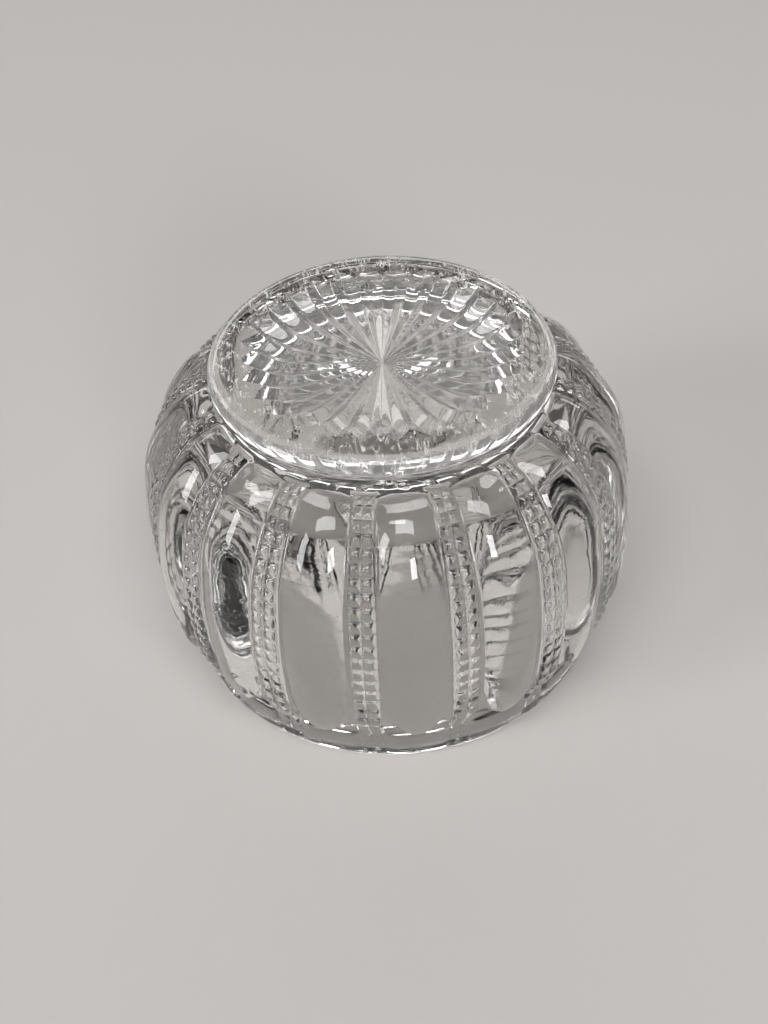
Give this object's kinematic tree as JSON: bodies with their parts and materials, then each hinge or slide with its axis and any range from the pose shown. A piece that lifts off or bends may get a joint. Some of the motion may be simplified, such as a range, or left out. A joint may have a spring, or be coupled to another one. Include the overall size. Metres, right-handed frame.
{
  "type": "salt cellar",
  "caption": "Open bulbous salt cellar of clear pressed glass, with convex panels between bands of square beads, a plain tapered bowl and a rayed star under the foot.",
  "frame": {"origin": "centre of the rim plane, on which the cellar stands mouth down as in the picture", "axes": "+Z along the bowl's axis from the rim to the foot; X and Y pass through the crests of panels and through points of the star"},
  "size_m": [0.076, 0.076, 0.0526],
  "materials": {
    "glass": "clear pressed soda-lime glass, fire-polished, worn and finely scratched on the foot"
  },
  "bodies": {
    "root": {"salt_cellar": "glass"}
  },
  "joints": []
}
